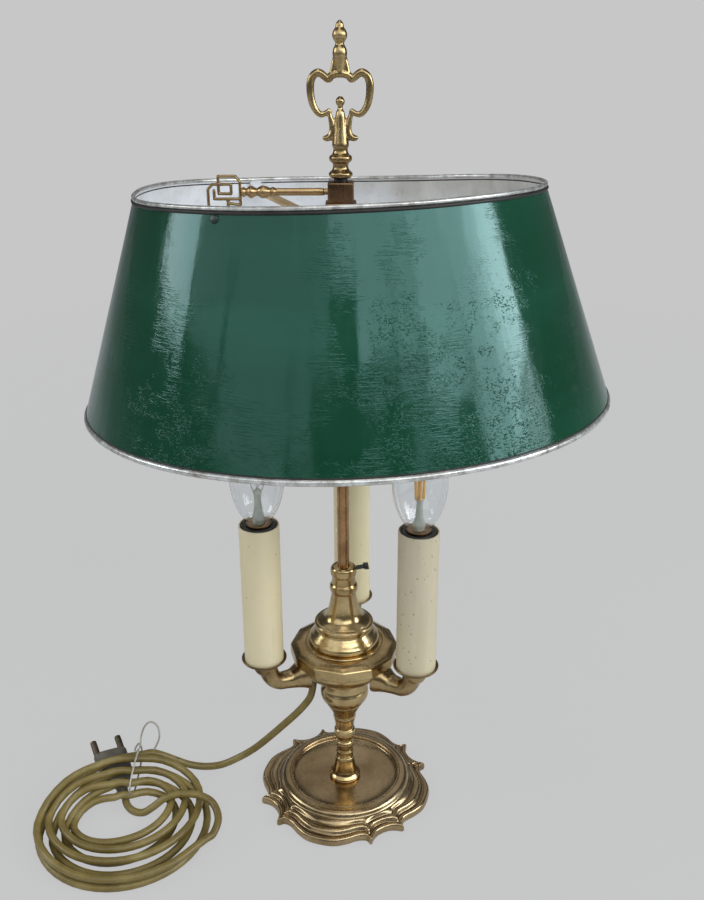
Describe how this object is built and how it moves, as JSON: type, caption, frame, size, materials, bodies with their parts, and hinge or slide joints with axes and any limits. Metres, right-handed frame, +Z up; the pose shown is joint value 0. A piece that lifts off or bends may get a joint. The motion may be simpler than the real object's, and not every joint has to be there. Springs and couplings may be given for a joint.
{
  "type": "bouillotte table lamp",
  "caption": "Table lamp with a dished foot, turned stem, candle arms and a painted metal shade that slides on a rod under a key screw and a loop finial.",
  "frame": {"origin": "centre of the foot's underside, on the axis of the rod", "axes": "+Z up along the rod; the front faces -Y; the cord leaves and lies towards -X"},
  "size_m": [0.3812, 0.3218, 0.5275],
  "materials": {
    "felt": "matt felt",
    "plated_steel": "plain",
    "dark_brass": "dark aged brass",
    "black_fittings": "dark, slightly glossy",
    "tie_wire": "thin bare wire",
    "ivory_plastic": "plain",
    "lead_wire": "insulated leads",
    "pewter_wire": "soft grey metal, darkened",
    "green_paint": "glossy hand-painted outside, silver-white inside",
    "candle_sleeve": "cream, worn",
    "bulb_glass": "clear",
    "filament": "stem and filaments",
    "cord": "gold-olive, satin",
    "brass": "aged, polished on the high places"
  },
  "bodies": {
    "stand": {"base_foot": "brass", "base_felt": "felt", "base_nut": "plated_steel", "tie_rod": "plated_steel", "stem_foot": "brass", "stem_beads": "brass", "stem_cup": "brass", "hub_bowl": "brass", "hub_cover": "brass", "terminal_block": "ivory_plastic", "column_base": "brass", "column": "brass", "arm_left": "brass", "arm_right": "brass", "arm_back": "brass", "pan_left": "brass", "pan_right": "brass", "pan_back": "brass", "nipple_left": "plated_steel", "nipple_right": "plated_steel", "nipple_back": "plated_steel", "holder_left": "black_fittings", "holder_right": "black_fittings", "holder_back": "black_fittings", "sleeve_left": "candle_sleeve", "sleeve_right": "candle_sleeve", "sleeve_back": "candle_sleeve", "cap_left": "plated_steel", "cap_right": "plated_steel", "cap_back": "plated_steel", "bulb_left": "bulb_glass", "bulb_right": "bulb_glass", "bulb_back": "bulb_glass", "filament_left": "filament", "filament_right": "filament", "filament_back": "filament", "arm_leads": "lead_wire", "cord_gland": "black_fittings", "cord_free": "cord", "cord_coil": "cord", "cord_tail": "cord", "coil_tie": "tie_wire", "plug": "black_fittings", "plug_pins": "plated_steel"},
    "rod": {"rod": "brass", "finial": "brass", "finial_top": "brass", "finial_loops": "brass", "finial_leaves": "brass"},
    "carrier": {"carrier": "dark_brass", "ring_nut": "dark_brass"},
    "shade": {"spider_hub": "brass", "spider": "brass", "shade_rivets": "pewter_wire", "shade": "green_paint", "shade_top_rim": "pewter_wire", "shade_bottom_rim": "pewter_wire"},
    "key": {"key_shaft": "brass", "key_bow": "brass"},
    "collar_screw": {"collar_screw": "black_fittings"}
  },
  "joints": [
    {"name": "rod_slide", "type": "slide", "parent": "stand", "child": "rod", "axis": [0, 0, 1], "range_m": [0, 0.015]},
    {"name": "carrier_slide", "type": "slide", "parent": "rod", "child": "carrier", "axis": [0, 0, 1], "range_m": [-0.095, 0.0015]},
    {"name": "shade_turn", "type": "hinge", "parent": "carrier", "child": "shade", "pos_m": [0, 0, 0.4135], "axis": [0, 0, 1], "range_deg": [-50, 50]},
    {"name": "key_turn", "type": "hinge", "parent": "carrier", "child": "key", "pos_m": [-0.012, 0, 0.4347], "axis": [1, 0, 0], "continuous": true},
    {"name": "collar_screw_turn", "type": "hinge", "parent": "stand", "child": "collar_screw", "pos_m": [0.01128, 0.0041, 0.1833], "axis": [0.9397, 0.342, 0], "continuous": true}
  ]
}
